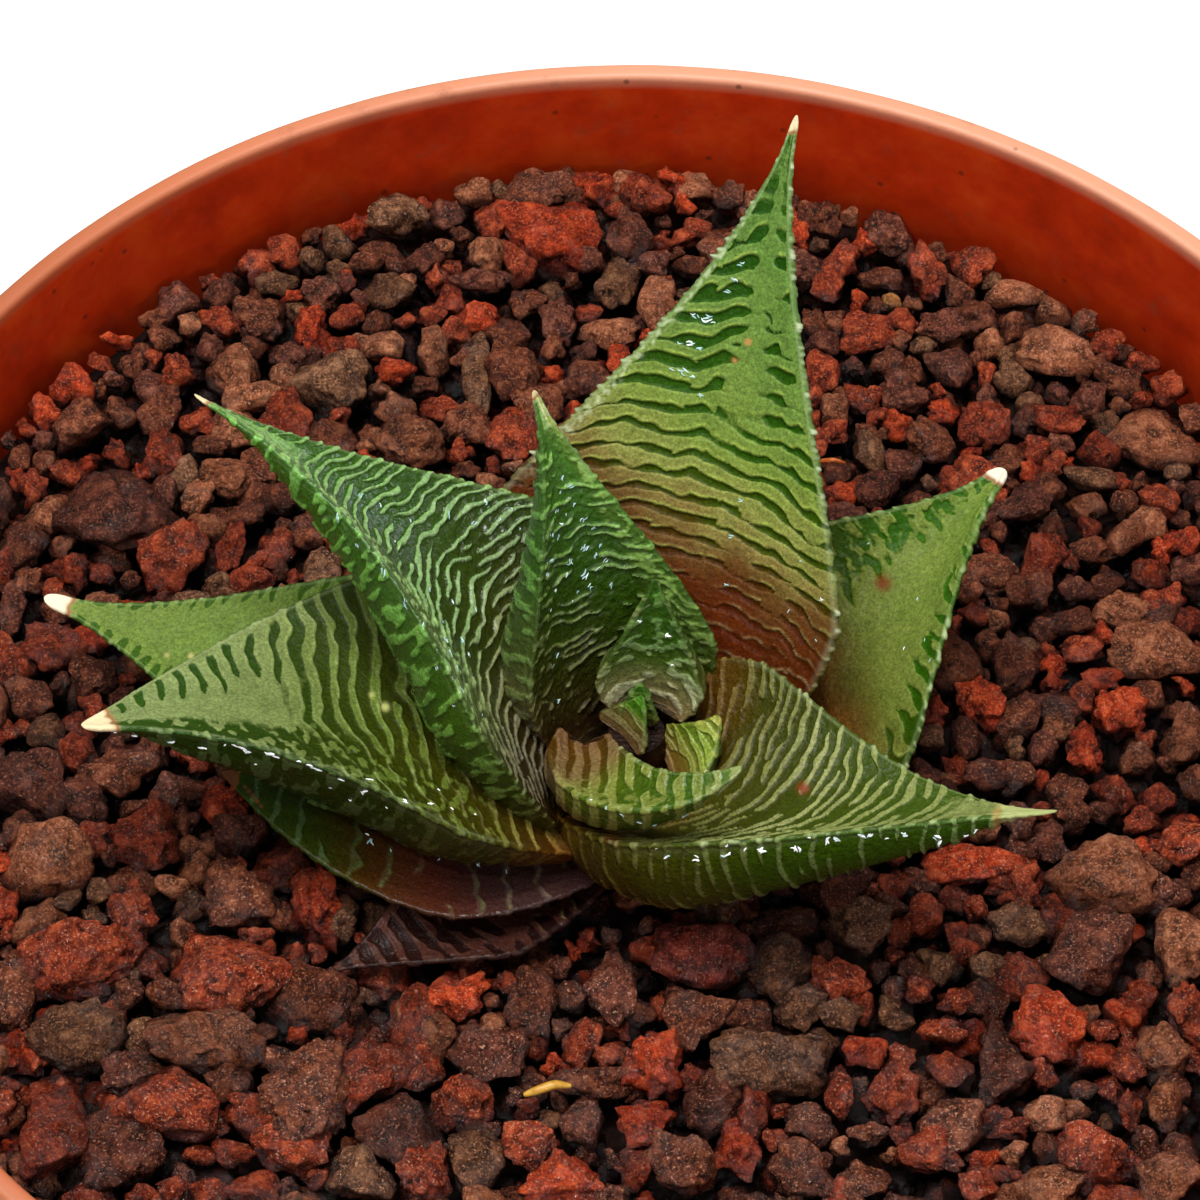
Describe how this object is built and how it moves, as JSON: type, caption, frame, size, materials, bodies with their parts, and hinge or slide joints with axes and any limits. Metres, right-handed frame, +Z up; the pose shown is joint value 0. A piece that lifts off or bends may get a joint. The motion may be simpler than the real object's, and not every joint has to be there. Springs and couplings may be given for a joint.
{
  "type": "potted haworthia",
  "caption": "Small rosette of thick, cross-ridged, pointed leaves standing in lava grit in a round, thin-walled, tapered pot with a rim band and drain holes.",
  "frame": {"origin": "centre of the pot's foot, on the surface that it stands on", "axes": "+Z up along the pot's axis; -Y is the front, the side that the picture is taken from; +X is the picture's right"},
  "size_m": [0.12, 0.12, 0.1258],
  "materials": {
    "pot": "satin, terracotta-coloured thin plastic",
    "substrate": "wet porous lava grit in brick red, brown, purple-brown and grey-brown",
    "stem": "plant tissue",
    "leaf_young": "satin, wet bright green leaf tissue",
    "leaf": "satin, wet dark green leaf tissue with paler raised cross ridges",
    "leaf_dry": "dried leaf tissue"
  },
  "bodies": {
    "root": {"pot": "pot", "substrate": "substrate", "stem": "stem", "leaf_heart_back": "leaf_young", "leaf_heart_front": "leaf_young", "leaf_inner_back": "leaf_young", "leaf_inner_front": "leaf_young", "leaf_inner_right": "leaf_young", "leaf_centre": "leaf", "leaf_right_front": "leaf", "leaf_left_upper": "leaf", "leaf_back": "leaf", "leaf_left": "leaf", "leaf_right_rear": "leaf", "leaf_left_rear": "leaf", "leaf_left_lower": "leaf", "leaf_dry": "leaf_dry"}
  },
  "joints": []
}
